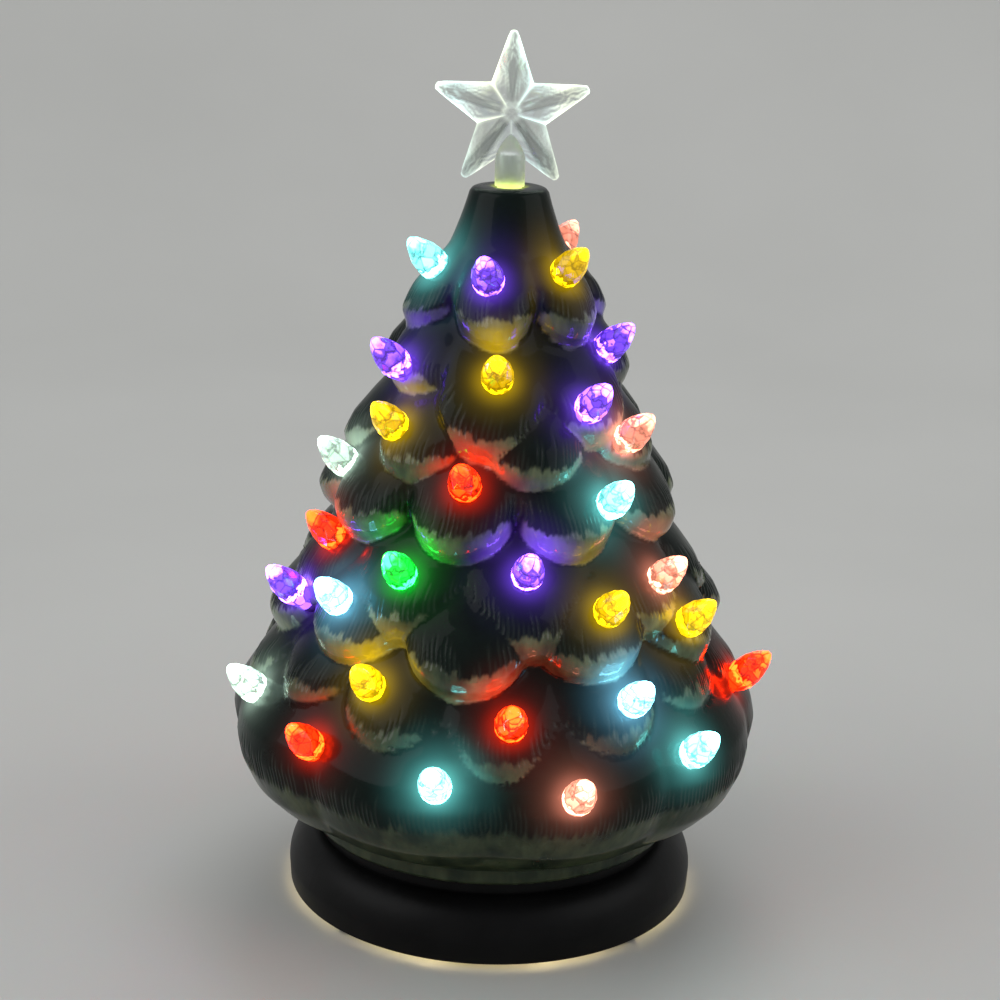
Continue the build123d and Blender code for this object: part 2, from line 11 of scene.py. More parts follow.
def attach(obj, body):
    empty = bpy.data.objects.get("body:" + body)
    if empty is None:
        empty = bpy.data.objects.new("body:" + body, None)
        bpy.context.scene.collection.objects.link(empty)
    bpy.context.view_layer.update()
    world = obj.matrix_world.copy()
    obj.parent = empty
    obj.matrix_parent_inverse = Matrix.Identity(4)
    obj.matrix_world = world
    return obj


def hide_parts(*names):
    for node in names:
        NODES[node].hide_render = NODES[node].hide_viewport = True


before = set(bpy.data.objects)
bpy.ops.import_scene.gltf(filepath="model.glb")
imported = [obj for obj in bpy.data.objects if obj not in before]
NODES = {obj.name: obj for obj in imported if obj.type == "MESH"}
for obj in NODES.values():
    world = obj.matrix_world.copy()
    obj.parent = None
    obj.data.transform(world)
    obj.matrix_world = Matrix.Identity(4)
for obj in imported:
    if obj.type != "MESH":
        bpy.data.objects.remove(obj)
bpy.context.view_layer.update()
MM = 0.001
MERGE = 0.00001

# Rows of boughs from the crown down, as in the solids: boughs in the row, azimuth of the first one, radius and
# height of the tips in millimetres, and how much lower the tips of single boughs hang
BOUGH_ROWS = (
    (6, -9, 45, 262, {}),
    (7, -6, 54, 238, {0: 21, 1: 17}),
    (7, 14, 68, 206, {}),
    (9, -14, 80, 181, {}),
    (9, 10, 91, 146, {0: 3}),
    (10, -8, 101, 129, {1: -5, 9: -5}),
    (13, 2, 109, 101, {0: 7, 2: -7, 11: -7}),
)

# The three middle rings of a bough: inward and upward of its tip, and depth and rise of the notch by the bough's width
BOUGH_RINGS = ((12, 22, 0.13, 0.088), (0, 3, 0.26, 0.22), (7, -8, 0.234, 0.22))

# Skirt: lobes, azimuth of the first one, and the rings' radius, height and depth of scallop
SKIRT_LOBES = 9
SKIRT_FIRST = 19.5
SKIRT_RINGS = ((78.5, 141, 0), (109.5, 101, 3.6), (118.5, 81, 4.5), (111.5, 60.5, 3.6), (89, 44, 0))

# Inside of the casting: radius and height
CAVITY = (
    (71, 29), (71, 49), (84, 49), (94, 56.5), (102, 66), (106.5, 76), (107, 86), (99, 104), (85, 125), (77, 138),
    (77, 150), (69, 166), (57, 179), (57, 205), (46.5, 214), (46, 229), (31.5, 247), (24.5, 257), (24.5, 276),
    (15, 304), (0, 304),
)

# Cut of the shell's mesh, the band of each bough that is cut finer, and the height where the plain crown begins
SHELL_VOXEL = 1.3
SHELL_SMOOTHING = 11
FINE_BAND = (1.15, 2.50)
CROWN_FOOT = 279

# Brushed needles along the boughs' lips, soft folds down their faces, and how pale the lower lips are
NEEDLE_PITCH = 2.1
NEEDLE_DEPTH = 0.55
FOLD_HEIGHT = 0.9
SKIRT_PALENESS = 0.40
LOW_ROW_PALENESS = 0.60

# Light that the lamps throw on the glaze: its strength in the pool and on the lips, and how far each kind reaches
POOL_LIGHT = 0.38
LIP_LIGHT = 0.62
POOL_REACH = 4.6
HAZE_REACH = 12.0
LIP_REACH = 15.0

# Lamps: colour of the light, its strength in the dark folds, the body and the hot seat, and the haze round it
LAMP_LIGHT = {
    "red": ((1.0, 0.020, 0.0015), (0.40, 3.0, 30.0), 0.08),
    "yellow": ((1.0, 0.62, 0.003), (0.32, 1.2, 6.0), 0.15),
    "green": ((0.010, 1.0, 0.050), (0.25, 2.2, 30.0), 0.15),
    "teal": ((0.20, 0.94, 0.90), (0.70, 4.6, 16.0), 0.40),
    "blue": ((0.21, 0.68, 1.0), (0.80, 5.4, 18.0), 0.44),
    "purple": ((0.20, 0.065, 1.0), (0.35, 1.8, 30.0), 0.12),
    "pink": ((1.0, 0.30, 0.19), (0.45, 1.7, 9.0), 0.18),
    "clear": ((0.66, 0.95, 0.76), (0.35, 1.5, 5.0), 0.20),
}

# Lamps near the light in the base are brighter: heights and shares of the strength
LAMP_POWER = ((80, 130, 270), (1.2, 1.0, 0.5))

# Shape of a lamp: radius and height of its rings over the seat, height of its tip, and the plain peg in the bore
LAMP_SIDES = 9
LAMP_RINGS = ((4.6, -5.5), (5.9, -2.6), (6.6, -0.4), (6.9, 1.4), (6.8, 4.6), (6.1, 8.2), (4.7, 11.8), (2.9, 14.9),
              (1.2, 16.8))
LAMP_TIP = 17
LAMP_RADIUS = 6.5
PEG_RINGS = ((3.8, -9), (3.8, 0.3))

# Star: height of the crown under it and of its middle, reach of its points and inner corners, width and rounding
# of a tip, and its stem's height and radius
CROWN_TOP = 317
STAR_CENTRE = 347.5
STAR_REACH = 33.5
STAR_INNER = 15.0
STAR_TIP = 3.0
TIP_ROUND = 2.28
STEM_PROFILE = ((CROWN_TOP, 6.3), (CROWN_TOP + 13, 6.3), (CROWN_TOP + 21.4, 3.8), (CROWN_TOP + 25, 0.0))
ARM_TURN = 72

# Floor: radius of its flat, radius and angle of the bend round it, and radius and height of the rim
FLOOR_FLAT = 1.0
FLOOR_BEND = 0.8
FLOOR_ANGLE = 60
FLOOR_RIM = (1.80, 0.58)

# Camera as fitted to the photograph: place, pitch down and roll in degrees, and lens
CAMERA_PLACE = (0.0, -0.8967, 0.4529)
CAMERA_PITCH = 16.98
CAMERA_ROLL = 1.74
CAMERA_LENS = 77.04


# Node helpers


class Surface:
    """A material with its node tree and Principled shader at hand."""

    def __init__(self, name, **values):
        self.material = bpy.data.materials.new(name)
        self.material.use_nodes = True
        self.tree = self.material.node_tree
        self.shader = self.tree.nodes["Principled BSDF"]
        for socket, value in values.items():
            self.shader.inputs[socket.replace("_", " ")].default_value = value
        self.place = self.add("ShaderNodeTexCoord").outputs["Object"]

    def add(self, kind, **settings):
        """New node, with its settings."""
        node = self.tree.nodes.new(kind)
        for name, value in settings.items():
            setattr(node, name, value)
        return node

    def feed(self, socket, source):
        """Link an output to an input, or set the input to a plain value."""
        if isinstance(source, bpy.types.NodeSocket):
            self.tree.links.new(source, socket)
        else:
            socket.default_value = source

    def noise(self, scale, detail=4.0, rough=0.5, stretch=None):
        """Noise over the object, by its size per metre."""
        node = self.add("ShaderNodeTexNoise")
        node.inputs["Scale"].default_value = scale
        node.inputs["Detail"].default_value = detail
        node.inputs["Roughness"].default_value = rough
        where = self.place
        if stretch:
            mapping = self.add("ShaderNodeMapping")
            mapping.inputs["Scale"].default_value = stretch
            self.feed(mapping.inputs["Vector"], where)
            where = mapping.outputs["Vector"]
        self.feed(node.inputs["Vector"], where)
        return node.outputs["Fac"]

    def cells(self, scale, feature, output):
        """Cell pattern over the object, by its size per metre."""
        node = self.add("ShaderNodeTexVoronoi", feature=feature)
        node.inputs["Scale"].default_value = scale
        self.feed(node.inputs["Vector"], self.place)
        return node.outputs[output]

    def attribute(self, name, output="Fac"):
        """Value stored on the mesh's points or faces."""
        return self.add("ShaderNodeAttribute", attribute_name=name).outputs[output]

    def ramp(self, factor, *stops):
        """Colours by a factor, from stops of place and colour."""
        node = self.add("ShaderNodeValToRGB")
        elements = node.color_ramp.elements
        while len(elements) < len(stops):
            elements.new(0.5)
        for element, (place, colour) in zip(elements, stops):
            element.position = place
            element.color = (*colour, 1.0)
        self.feed(node.inputs["Fac"], factor)
        return node.outputs["Color"]

    def span(self, factor, low, high, start=0.0, end=1.0):
        """Factor from one range onto another."""
        node = self.add("ShaderNodeMapRange")
        self.feed(node.inputs["Value"], factor)
        for socket, value in zip(("From Min", "From Max", "To Min", "To Max"), (start, end, low, high)):
            node.inputs[socket].default_value = value
        return node.outputs["Result"]

    def mix(self, factor, first, second, blend="MIX"):
        """Two colours by a factor."""
        node = self.add("ShaderNodeMix", data_type="RGBA", blend_type=blend)
        self.feed(node.inputs["Factor"], factor)
        colour_sockets = [s for s in node.inputs if s.type == "RGBA"]
        for socket, source in zip(colour_sockets, (first, second)):
            if isinstance(source, tuple):
                source = (*source, 1.0)
            self.feed(socket, source)
        return next(s for s in node.outputs if s.type == "RGBA")

    def math(self, operation, first, second):
        """Two numbers joined."""
        node = self.add("ShaderNodeMath", operation=operation)
        self.feed(node.inputs[0], first)
        self.feed(node.inputs[1], second)
        return node.outputs["Value"]

    def bump(self, height, strength, distance):
        """Small relief on the shader's normal."""
        node = self.add("ShaderNodeBump")
        node.inputs["Strength"].default_value = strength
        node.inputs["Distance"].default_value = distance
        self.feed(node.inputs["Height"], height)
        self.feed(self.shader.inputs["Normal"], node.outputs["Normal"])


def plastic(name, colour, roughness, grain=900.0, relief=0.00006, shine=0.5):
    """Moulded plastic: a fine grain, a little uneven in colour and shine."""
    surface = Surface(name, Specular_IOR_Level=shine)
    cloud = surface.noise(45.0)
    darker = tuple(0.86 * c for c in colour)
    lighter = tuple(min(1.0, 1.08 * c + 0.002) for c in colour)
    surface.feed(surface.shader.inputs["Base Color"], surface.ramp(cloud, (0.3, darker), (0.7, lighter)))
    surface.feed(surface.shader.inputs["Roughness"], surface.span(cloud, roughness - 0.05, roughness + 0.05))
    surface.bump(surface.noise(grain, 2.0), 0.5, relief)
    return surface.material


def metal(name, colour):
    """Rolled and plated metal with fine drawn lines."""
    surface = Surface(name, Metallic=1.0)
    lines = surface.noise(160.0, 3.0, stretch=(1.0, 14.0, 14.0))
    darker = tuple(0.75 * c for c in colour)
    surface.feed(surface.shader.inputs["Base Color"], surface.ramp(lines, (0.25, darker), (0.75, colour)))
    surface.feed(surface.shader.inputs["Roughness"], surface.span(lines, 0.24, 0.40))
    surface.bump(lines, 0.3, 0.00004)
    return surface.material


def glaze():
    """Dark green glaze in brush marks over pale lips, with the lamps' light painted in coloured pools round them."""
    surface = Surface("green_glaze", Specular_IOR_Level=0.06, Coat_Roughness=0.03, Emission_Strength=1.0)
    cloud = surface.noise(38.0, 5.0, 0.6)
    streak = surface.noise(260.0, 3.0, stretch=(1.0, 1.0, 0.25))
    dark = surface.ramp(cloud, (0.30, (0.001, 0.0032, 0.0025)), (0.55, (0.003, 0.008, 0.006)),
                        (0.80, (0.006, 0.015, 0.010)))
    thin = surface.ramp(streak, (0.30, (0.018, 0.032, 0.015)), (0.70, (0.048, 0.068, 0.032)))
    thick = surface.ramp(streak, (0.30, (0.070, 0.098, 0.046)), (0.70, (0.150, 0.175, 0.085)))
    patch = surface.span(surface.noise(55.0, 2.0), 0.0, 1.0, 0.40, 0.60)
    lip, needle = surface.attribute("lip"), surface.attribute("needle")
    colour = surface.mix(needle, dark, (0.015, 0.026, 0.018))
    pale = surface.mix(patch, thin, thick)
    surface.feed(surface.shader.inputs["Base Color"], surface.mix(lip, colour, pale))
    shine = surface.math("ADD", lip, surface.span(needle, 0.0, 0.45))
    surface.feed(surface.shader.inputs["Coat Weight"], surface.span(shine, 0.12, 0.80))
    # Painted light: the lamps' glow pooled on the glaze, given as emission
    surface.feed(surface.shader.inputs["Emission Color"], surface.attribute("pool", "Color"))
    surface.feed(surface.shader.inputs["Roughness"], surface.span(cloud, 0.22, 0.36))
    surface.bump(surface.math("ADD", cloud, surface.noise(420.0, 2.0)), 0.25, 0.00025)
    return surface.material


def lamp_glow(colour):
    """Lit translucent peg: hot at its seat and tip, with dark folds between the lights inside it."""
    light, (dark, body, hot), _ = LAMP_LIGHT[colour]
    surface = Surface(f"{colour}_lamp", Roughness=0.10, Base_Color=(*(0.5 * c for c in light), 1.0),
                      Emission_Color=(*light, 1.0))
    wander = surface.span(surface.noise(330.0, 2.0), -0.10, 0.10, 0.3, 0.7)
    level = surface.math("ADD", surface.attribute("height"), wander)
    bands = surface.ramp(level, (0.0, (0.45,) * 3), (0.16, (0.5,) * 3), (0.21, (1.0,) * 3), (0.31, (0.85,) * 3),
                         (0.36, (0.0,) * 3), (0.45, (0.45,) * 3), (0.64, (0.5,) * 3), (0.69, (0.08,) * 3),
                         (0.75, (0.5,) * 3), (0.96, (0.9,) * 3))
    fold = surface.span(surface.cells(190.0, "DISTANCE_TO_EDGE", "Distance"), -0.30, 0.0, 0.01, 0.08)
    patch = surface.span(surface.cells(190.0, "F1", "Color"), -0.20, 0.24)
    heat = surface.math("ADD", bands, surface.math("ADD", fold, patch))
    glow = surface.ramp(heat, (0.0, (dark / hot,) * 3), (0.5, (body / hot,) * 3), (1.0, (1.0,) * 3))
    strength = surface.math("MULTIPLY", surface.span(glow, 0.0, hot), surface.attribute("power"))
    surface.feed(surface.shader.inputs["Emission Strength"], strength)
    return surface.material


def clear_star():
    """Clear moulded plastic whose edges and folds carry the light from the crown, with painted shade on its flat
    facets.
    """
    surface = Surface("clear_plastic", IOR=1.49, Transmission_Weight=1.0, Emission_Strength=1.0)
    cloud = surface.noise(60.0, 3.0)
    bright = surface.ramp(cloud, (0.3, (0.86, 0.93, 0.90)), (0.7, (0.97, 1.0, 0.98)))
    # Painted shade: the base colour turns grey where the shade attribute marks dark facets, ribs and stem
    surface.feed(surface.shader.inputs["Base Color"], surface.mix(surface.attribute("shade"), bright,
                                                                  (0.40, 0.44, 0.42)))
    surface.feed(surface.shader.inputs["Roughness"], surface.span(surface.attribute("frost"), 0.03, 0.50))
    surface.feed(surface.shader.inputs["Emission Color"], surface.attribute("guided", "Color"))
    surface.bump(cloud, 0.3, 0.0004)
    return surface.material


def lit_plastic(name, colour, strength):
    """Frosted plastic with light behind it."""
    surface = Surface(name, Roughness=0.45)
    cloud = surface.noise(120.0, 3.0)
    tint = surface.ramp(cloud, (0.3, tuple(0.9 * c for c in colour)), (0.7, colour))
    surface.feed(surface.shader.inputs["Base Color"], tint)
    surface.feed(surface.shader.inputs["Emission Color"], tint)
    surface.feed(surface.shader.inputs["Emission Strength"], surface.span(cloud, 0.8 * strength, 1.2 * strength))
    surface.bump(surface.noise(700.0, 2.0), 0.4, 0.00008)
    return surface.material


# Mesh helpers


def keep(mesh_object, material, body, slot, *nodes):
    """Give a piece its material and body, and hide the CAD nodes that it stands for; the finish slot is not used."""
    mesh_object.data.materials.clear()
    mesh_object.data.materials.append(material)
    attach(mesh_object, body)
    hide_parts(*nodes)
    return mesh_object


def new_object(name, mesh):
    """Object in the scene for a mesh."""
    made = bpy.data.objects.new(name, mesh)
    bpy.context.scene.collection.objects.link(made)
    return made


def apply_modifiers(made):
    """Put an object's modifiers into its mesh."""
    evaluated = made.evaluated_get(bpy.context.evaluated_depsgraph_get())
    mesh = bpy.data.meshes.new_from_object(evaluated)
    made.modifiers.clear()
    old = made.data
    made.data = mesh
    bpy.data.meshes.remove(old)


def cad_copy(node, name):
    """Copy of a CAD node's mesh with its doubled points joined."""
    mesh = NODES[node].data.copy()
    work = bmesh.new()
    work.from_mesh(mesh)
    bmesh.ops.remove_doubles(work, verts=work.verts, dist=MERGE)
    work.to_mesh(mesh)
    work.free()
    if "custom_normal" in mesh.attributes:
        mesh.attributes.remove(mesh.attributes["custom_normal"])
    return new_object(name, mesh)


def rounded_copy(node, name, width, angle=30.0):
    """CAD node with its sharp edges rounded."""
    made = cad_copy(node, name)
    made.data.shade_smooth()
    bevel = made.modifiers.new("round", "BEVEL")
    bevel.width = width
    bevel.segments = 2
    bevel.limit_method = "ANGLE"
    bevel.angle_limit = math.radians(angle)
    bevel.use_clamp_overlap = True
    bevel.harden_normals = False
    weighted = made.modifiers.new("normals", "WEIGHTED_NORMAL")
    weighted.keep_sharp = True
    apply_modifiers(made)
    return made


def store(mesh, name, values, domain="POINT"):
    """Write a number for each point or face."""
    layer = mesh.attributes.new(name, "FLOAT", domain)
    layer.data.foreach_set("value", np.ascontiguousarray(values, np.float32))


def store_colour(mesh, name, colours):
    """Write a colour for each point."""
    layer = mesh.attributes.new(name, "FLOAT_COLOR", "POINT")
    layer.data.foreach_set("color", colours.astype(np.float32).ravel())


def coordinates(mesh):
    """Mesh points as an array in millimetres."""
    flat = np.empty(len(mesh.vertices) * 3, np.float32)
    mesh.vertices.foreach_get("co", flat)
    return flat.reshape(-1, 3).astype(float) / MM


# Tree shell


def smooth_step(low, high, value):
    """Soft step from 0 to 1."""
    share = np.clip((value - low) / (high - low), 0.0, 1.0)
    return share * share * (3.0 - 2.0 * share)


def scatter(number, seed):
    """Repeatable numbers from 0 to 1 for whole numbers."""
    return np.modf(np.abs(np.sin(number * 12.9898 + seed * 78.233) * 43758.5453))[0]


def row_sections(row):
    """Tips and notches of a row's five rings."""
    count, _, radius, height, drops = row
    drop = np.array([drops.get(k, 0) for k in range(count)], float)
    width = 2 * math.pi * radius / count
    radii, heights = radius + 0.45 * drop, height - drop
    before = np.roll(radii, 1), np.roll(heights, 1)
    rings = []
    plain = np.ones(count)
    rings.append((plain * (radius - 32), plain * (height + 42), plain * (radius - 32), plain * (height + 42)))
    for inward, upward, depth, rise in BOUGH_RINGS:
        notch_radius = (radii + before[0]) / 2 - inward - depth * width
        notch_height = (heights + before[1]) / 2 + upward + rise * width
        rings.append((radii - inward, heights + upward, notch_radius, notch_height))
    low = height - drop.max() - 22
    rings.append((plain * (radius - 30), plain * low, plain * (radius - 30), plain * low))
    return rings, width


def skirt_sections():
    """Tips and notches of the skirt's five rings."""
    plain = np.ones(SKIRT_LOBES)
    rings = []
    for radius, height, scallop in SKIRT_RINGS:
        rings.append((plain * radius, plain * height, plain * (radius - scallop), plain * (height + scallop / 2)))
    widest = max(radius for radius, _, _ in SKIRT_RINGS)
    return rings, 2 * math.pi * widest / SKIRT_LOBES


def along(values, place):
    """Smooth curve through the five rings' values."""
    first = min(int(place), 3)
    share = place - first
    a, b = values[max(first - 1, 0)], values[first]
    c, d = values[first + 1], values[min(first + 2, 4)]
    return 0.5 * (2 * b + (c - a) * share + (2 * a - 5 * b + 4 * c - d) * share ** 2
                  + (3 * b - a - 3 * c + d) * share ** 3)


def bough_samples():
    """Points on every bough, their steps across and along it, and its row, number, places and half width."""
    across = np.linspace(-1, 1, 33)
    places = np.linspace(0.35, 3.7, 48)
    rows = [(row, *row_sections(row)) for row in BOUGH_ROWS]
    rows.append(((SKIRT_LOBES, SKIRT_FIRST), *skirt_sections()))
    parts = []
    for number, (row, rings, width) in enumerate(rows):
        count, first = row[0], row[1]
        grid = np.empty((len(places), count, len(across), 3))
        label = np.empty((len(places), count, len(across), 5))
        for k, place in enumerate(places):
            tip_radius, tip_height, left_radius, left_height = (
                along([ring[part] for ring in rings], place)[:, None] for part in range(4))
            left = across < 0
            side_radius = np.where(left, left_radius, np.roll(left_radius, -1, axis=0))
            side_height = np.where(left, left_height, np.roll(left_height, -1, axis=0))
            radius = side_radius + (tip_radius - side_radius) * (1 - across ** 2)
            turn = np.radians(first + 360 / count * (np.arange(count)[:, None] + across / 2))
            grid[k, :, :, 0] = radius * np.sin(turn)
            grid[k, :, :, 1] = -radius * np.cos(turn)
            grid[k, :, :, 2] = side_height + (tip_height - side_height) * (1 - across ** 2)
            label[k, :, :, 3] = place
        label[..., 0] = number
        label[..., 1] = np.arange(count)[:, None]
        label[..., 2] = across
        label[..., 4] = width / 2
        steps = np.gradient(grid, across, axis=2), np.gradient(grid, places, axis=0)
        parts.append([values.reshape(-1, values.shape[-1]) for values in (grid, *steps, label)])
    return [np.concatenate(column) for column in zip(*parts)]


def nearest_labels(points, samples):
    """Bough and places on it at each point, from the nearest sample and its steps."""
    spots, across_step, along_step, labels = samples
    tree = KDTree(len(spots))
    for k, spot in enumerate(spots):
        tree.insert(spot, k)
    tree.balance()
    found = np.fromiter((tree.find(point)[1] for point in points), int, len(points))
    gap, a, b = points - spots[found], across_step[found], along_step[found]
    aa, ab, bb = (a * a).sum(axis=1), (a * b).sum(axis=1), (b * b).sum(axis=1)
    ga, gb = (gap * a).sum(axis=1), (gap * b).sum(axis=1)
    area = np.maximum(aa * bb - ab * ab, 1.0)
    label = labels[found]
    label[:, 2] += np.clip((ga * bb - gb * ab) / area, -0.05, 0.05)
    label[:, 3] += np.clip((gb * aa - ga * ab) / area, -0.06, 0.06)
    return label


def inside_casting(points):
    """Whether each point is on the cavity's side of the wall."""
    profile = np.array(CAVITY)
    radius = np.hypot(points[:, 0], points[:, 1])
    return radius < np.interp(points[:, 2], profile[:, 1], profile[:, 0]) + 1.5


def needles(labels):
    """Depth of the brushed needles and cover of the pale lip at each labelled point."""
    row, bough, across, place, half_width = labels.T
    key = row * 131 + bough * 17
    track = across * half_width / NEEDLE_PITCH + 0.35 * np.sin(place * 5 + key)
    stroke = np.floor(track)
    offset = track - stroke - 0.5
    luck = scatter(stroke + key * 3.7, 1)
    reach = scatter(stroke + key * 5.3, 2)
    skirt = row == len(BOUGH_ROWS)
    lowest = row == len(BOUGH_ROWS) - 1
    start = np.where(skirt, 1.55, 1.05) + 0.55 * reach
    end = np.where(skirt, 2.36, np.where(lowest, 1.60, 1.74)) + 0.26 * luck
    end += np.where(skirt, 0.12, 0.45) * across ** 2
    groove = np.exp(-(offset / 0.21) ** 2)
    length = smooth_step(start, start + 0.35, place) * (1 - smooth_step(end - 0.05, end + 0.15, place))
    depth = groove * length * (0.45 + 0.55 * reach) * (scatter(stroke + key, 3) > 0.16)
    soft = np.where(skirt, 0.30, 0.14)
    lip = smooth_step(end - soft, end + soft + 0.04, place + 0.34 * np.abs(offset))
    lip *= np.where(skirt, 1.0, smooth_step(1.0, 0.72, np.abs(across)))
    lip *= np.where(lowest, smooth_step(2.5, 1.9, place), 1.0)
    return depth, lip


def folds(labels):
    """Height of the soft folds down each bough's face."""
    row, bough, across, place, _ = labels.T
    phase = 6.28 * scatter(row * 31 + bough, 4)
    face = smooth_step(0.7, 2.0, place) * (1 - smooth_step(2.6, 3.2, place)) * (1 - across ** 2)
    return face * (row < len(BOUGH_ROWS)) * np.cos(4.2 * across + phase)


def settled(mesh, values):
    """Values from 0 to 1 with stray points brought round to their neighbours."""
    ends = np.empty(len(mesh.edges) * 2, np.int32)
    mesh.edges.foreach_get("vertices", ends)
    first, second = ends.reshape(-1, 2).T
    size = len(values)
    links = np.maximum(np.bincount(first, minlength=size) + np.bincount(second, minlength=size), 1)
    for _ in range(3):
        total = np.bincount(first, values[second], size) + np.bincount(second, values[first], size)
        values = 0.4 * values + 0.6 * total / links
    return smooth_step(0.25, 0.75, values)


def lamp_pools(points, normals, lip):
    """Colour that the lamps throw on the glaze next to them."""
    pools = np.zeros((len(points), 4), np.float32)
    pools[:, 3] = 1.0
    for colour, (light, _, haze) in LAMP_LIGHT.items():
        tint = np.array(light) / (0.75 + np.dot(light, (0.21, 0.72, 0.07)))
        for seat, axis in lamp_frames(f"{colour}_lamps"):
            seat, axis = np.array(seat) / MM, np.array(axis)
            near = np.flatnonzero(np.abs(points - seat).max(axis=1) < 45)
            away = points[near] - seat
            height = np.clip(away @ axis, 1.0, 14.0)
            gap = away - height[:, None] * axis
            distance = np.linalg.norm(gap, axis=1)
            facing = -(gap * normals[near]).sum(axis=1) / np.maximum(distance, 0.1)
            clear = np.maximum(distance - LAMP_RADIUS, 0.0)
            share = POOL_LIGHT * np.exp(-(clear / POOL_REACH) ** 2) + haze * np.exp(-(clear / HAZE_REACH) ** 2)
            share *= np.clip(0.6 + facing, 0.0, 1.0)
            share += LIP_LIGHT * lip[near] * np.exp(-(clear / LIP_REACH) ** 2) * np.clip(facing + 0.1, 0.0, 1.0)
            pools[near, :3] += share[:, None] * tint
    return pools


def crown_light(points):
    """Light that spills round the star's stem at the top."""
    radius = np.hypot(points[:, 0], points[:, 1])
    ring = np.exp(-((radius - 6.0) / 1.6) ** 2) * smooth_step(CROWN_TOP - 4, CROWN_TOP - 1, points[:, 2])
    return 0.45 * ring[:, None] * np.array((0.75, 0.90, 0.12, 0.0))


def tree_shell():
    """Glazed casting, cut fine along the lips for its needles."""
    shell = cad_copy("tree_shell", "tree_shell_glazed")
    remesh = shell.modifiers.new("even", "REMESH")
    remesh.mode = "VOXEL"
    remesh.voxel_size = SHELL_VOXEL * MM
    smooth = shell.modifiers.new("soft", "SMOOTH")
    smooth.factor = 0.5
    smooth.iterations = SHELL_SMOOTHING
    apply_modifiers(shell)
    samples = bough_samples()

    points = coordinates(shell.data)
    labels = nearest_labels(points, samples)
    place = labels[:, 3]
    fringe = ~inside_casting(points) & (points[:, 2] < CROWN_FOOT)
    fringe &= (place > FINE_BAND[0]) & (place < FINE_BAND[1])
    work = bmesh.new()
    work.from_mesh(shell.data)
    work.edges.ensure_lookup_table()
    edges = [e for e in work.edges if fringe[e.verts[0].index] and fringe[e.verts[1].index]]
    bmesh.ops.subdivide_edges(work, edges=edges, cuts=1, use_grid_fill=True)
    work.to_mesh(shell.data)
    work.free()

    mesh = shell.data
    points = coordinates(mesh)
    labels = nearest_labels(points, samples)
    row, across, place = labels[:, 0], labels[:, 2], labels[:, 3]
    normals = np.empty(len(mesh.vertices) * 3, np.float32)
    mesh.vertices.foreach_get("normal", normals)
    normals = normals.reshape(-1, 3)
    depth, lip = needles(labels)
    wall = ~inside_casting(points)
    outside = wall & (points[:, 2] < CROWN_FOOT)
    bough = row < len(BOUGH_ROWS)
    under = bough & (place < 1.9) & (normals[:, 2] < -0.35) & (np.abs(across) < 0.6)
    lip = np.where(under, 1.0, lip)
    astray = bough & (place > 2.3) & (normals[:, 2] > 0.45)
    depth, lip = depth * outside * ~astray, settled(mesh, lip * outside * ~astray)
    lip = np.maximum(lip, smooth_step(58, 54, points[:, 2]))
    lip *= np.where(bough, np.where(row < len(BOUGH_ROWS) - 1, 1.0, LOW_ROW_PALENESS), SKIRT_PALENESS)
    raised = FOLD_HEIGHT * folds(labels) * outside - NEEDLE_DEPTH * depth
    mesh.vertices.foreach_set("co", ((points + normals * raised[:, None]) * MM).astype(np.float32).ravel())
    store(mesh, "lip", lip)
    store(mesh, "needle", depth)
    store_colour(mesh, "pool", lamp_pools(points, normals, lip) * wall[:, None] + crown_light(points))
    mesh.shade_smooth()
    mesh.update()
    return keep(shell, glaze(), "tree", "green_glaze", "tree_shell")


# Lamps


def lamp_frames(node):
    """Seat and direction of each lamp in a CAD group."""
    work = bmesh.new()
    work.from_mesh(NODES[node].data)
    bmesh.ops.remove_doubles(work, verts=work.verts, dist=MERGE)
    left = set(work.verts)
    frames = []
    while left:
        group, front = set(), [left.pop()]
        while front:
            vertex = front.pop()
            group.add(vertex)
            for edge in vertex.link_edges:
                other = edge.other_vert(vertex)
                if other in left:
                    left.discard(other)
                    front.append(other)
        centre = sum((v.co for v in group), Vector()) / len(group)
        outward = Vector((centre.x, centre.y, 0)).normalized()
        axis = (outward + Vector((0, 0, 1))).normalized()
        top = max(v.co.dot(axis) for v in group)
        tip = [v.co for v in group if v.co.dot(axis) > top - 0.0003]
        seat = sum(tip, Vector()) / len(tip) - axis * LAMP_TIP * MM
        frames.append((seat.copy(), axis))
    work.free()
    return sorted(frames, key=lambda pair: (round(pair[0].z, 4), round(pair[0].x, 4)))


def lamp_ring(work, place, radius, height, shift=0.0):
    """Ring of points round a lamp's axis, turned by a share of one side."""
    ring = []
    for k in range(LAMP_SIDES):
        angle = 2 * math.pi * (k + shift) / LAMP_SIDES
        point = Vector((radius * math.cos(angle), radius * math.sin(angle), height)) * MM
        ring.append(work.verts.new(place @ point))
    return ring


def cut_lamp(work, place):
    """Flame-shaped head in triangles, and the plain peg under it."""
    rings = [lamp_ring(work, place, *ring, 0.5 * (level % 2)) for level, ring in enumerate(LAMP_RINGS)]
    work.faces.new(reversed(rings[0]))
    work.faces.new(rings[-1])
    for level, (low, high) in enumerate(zip(rings, rings[1:])):
        for k in range(LAMP_SIDES):
            following = (k + 1) % LAMP_SIDES
            if level % 2 == 0:
                work.faces.new((low[k], low[following], high[k]))
                work.faces.new((low[following], high[following], high[k]))
            else:
                work.faces.new((low[k], high[following], high[k]))
                work.faces.new((low[k], low[following], high[following]))
    low, high = (lamp_ring(work, place, *ring) for ring in PEG_RINGS)
    work.faces.new(reversed(low))
    work.faces.new(high)
    for k in range(LAMP_SIDES):
        following = (k + 1) % LAMP_SIDES
        work.faces.new((low[k], low[following], high[following], high[k]))


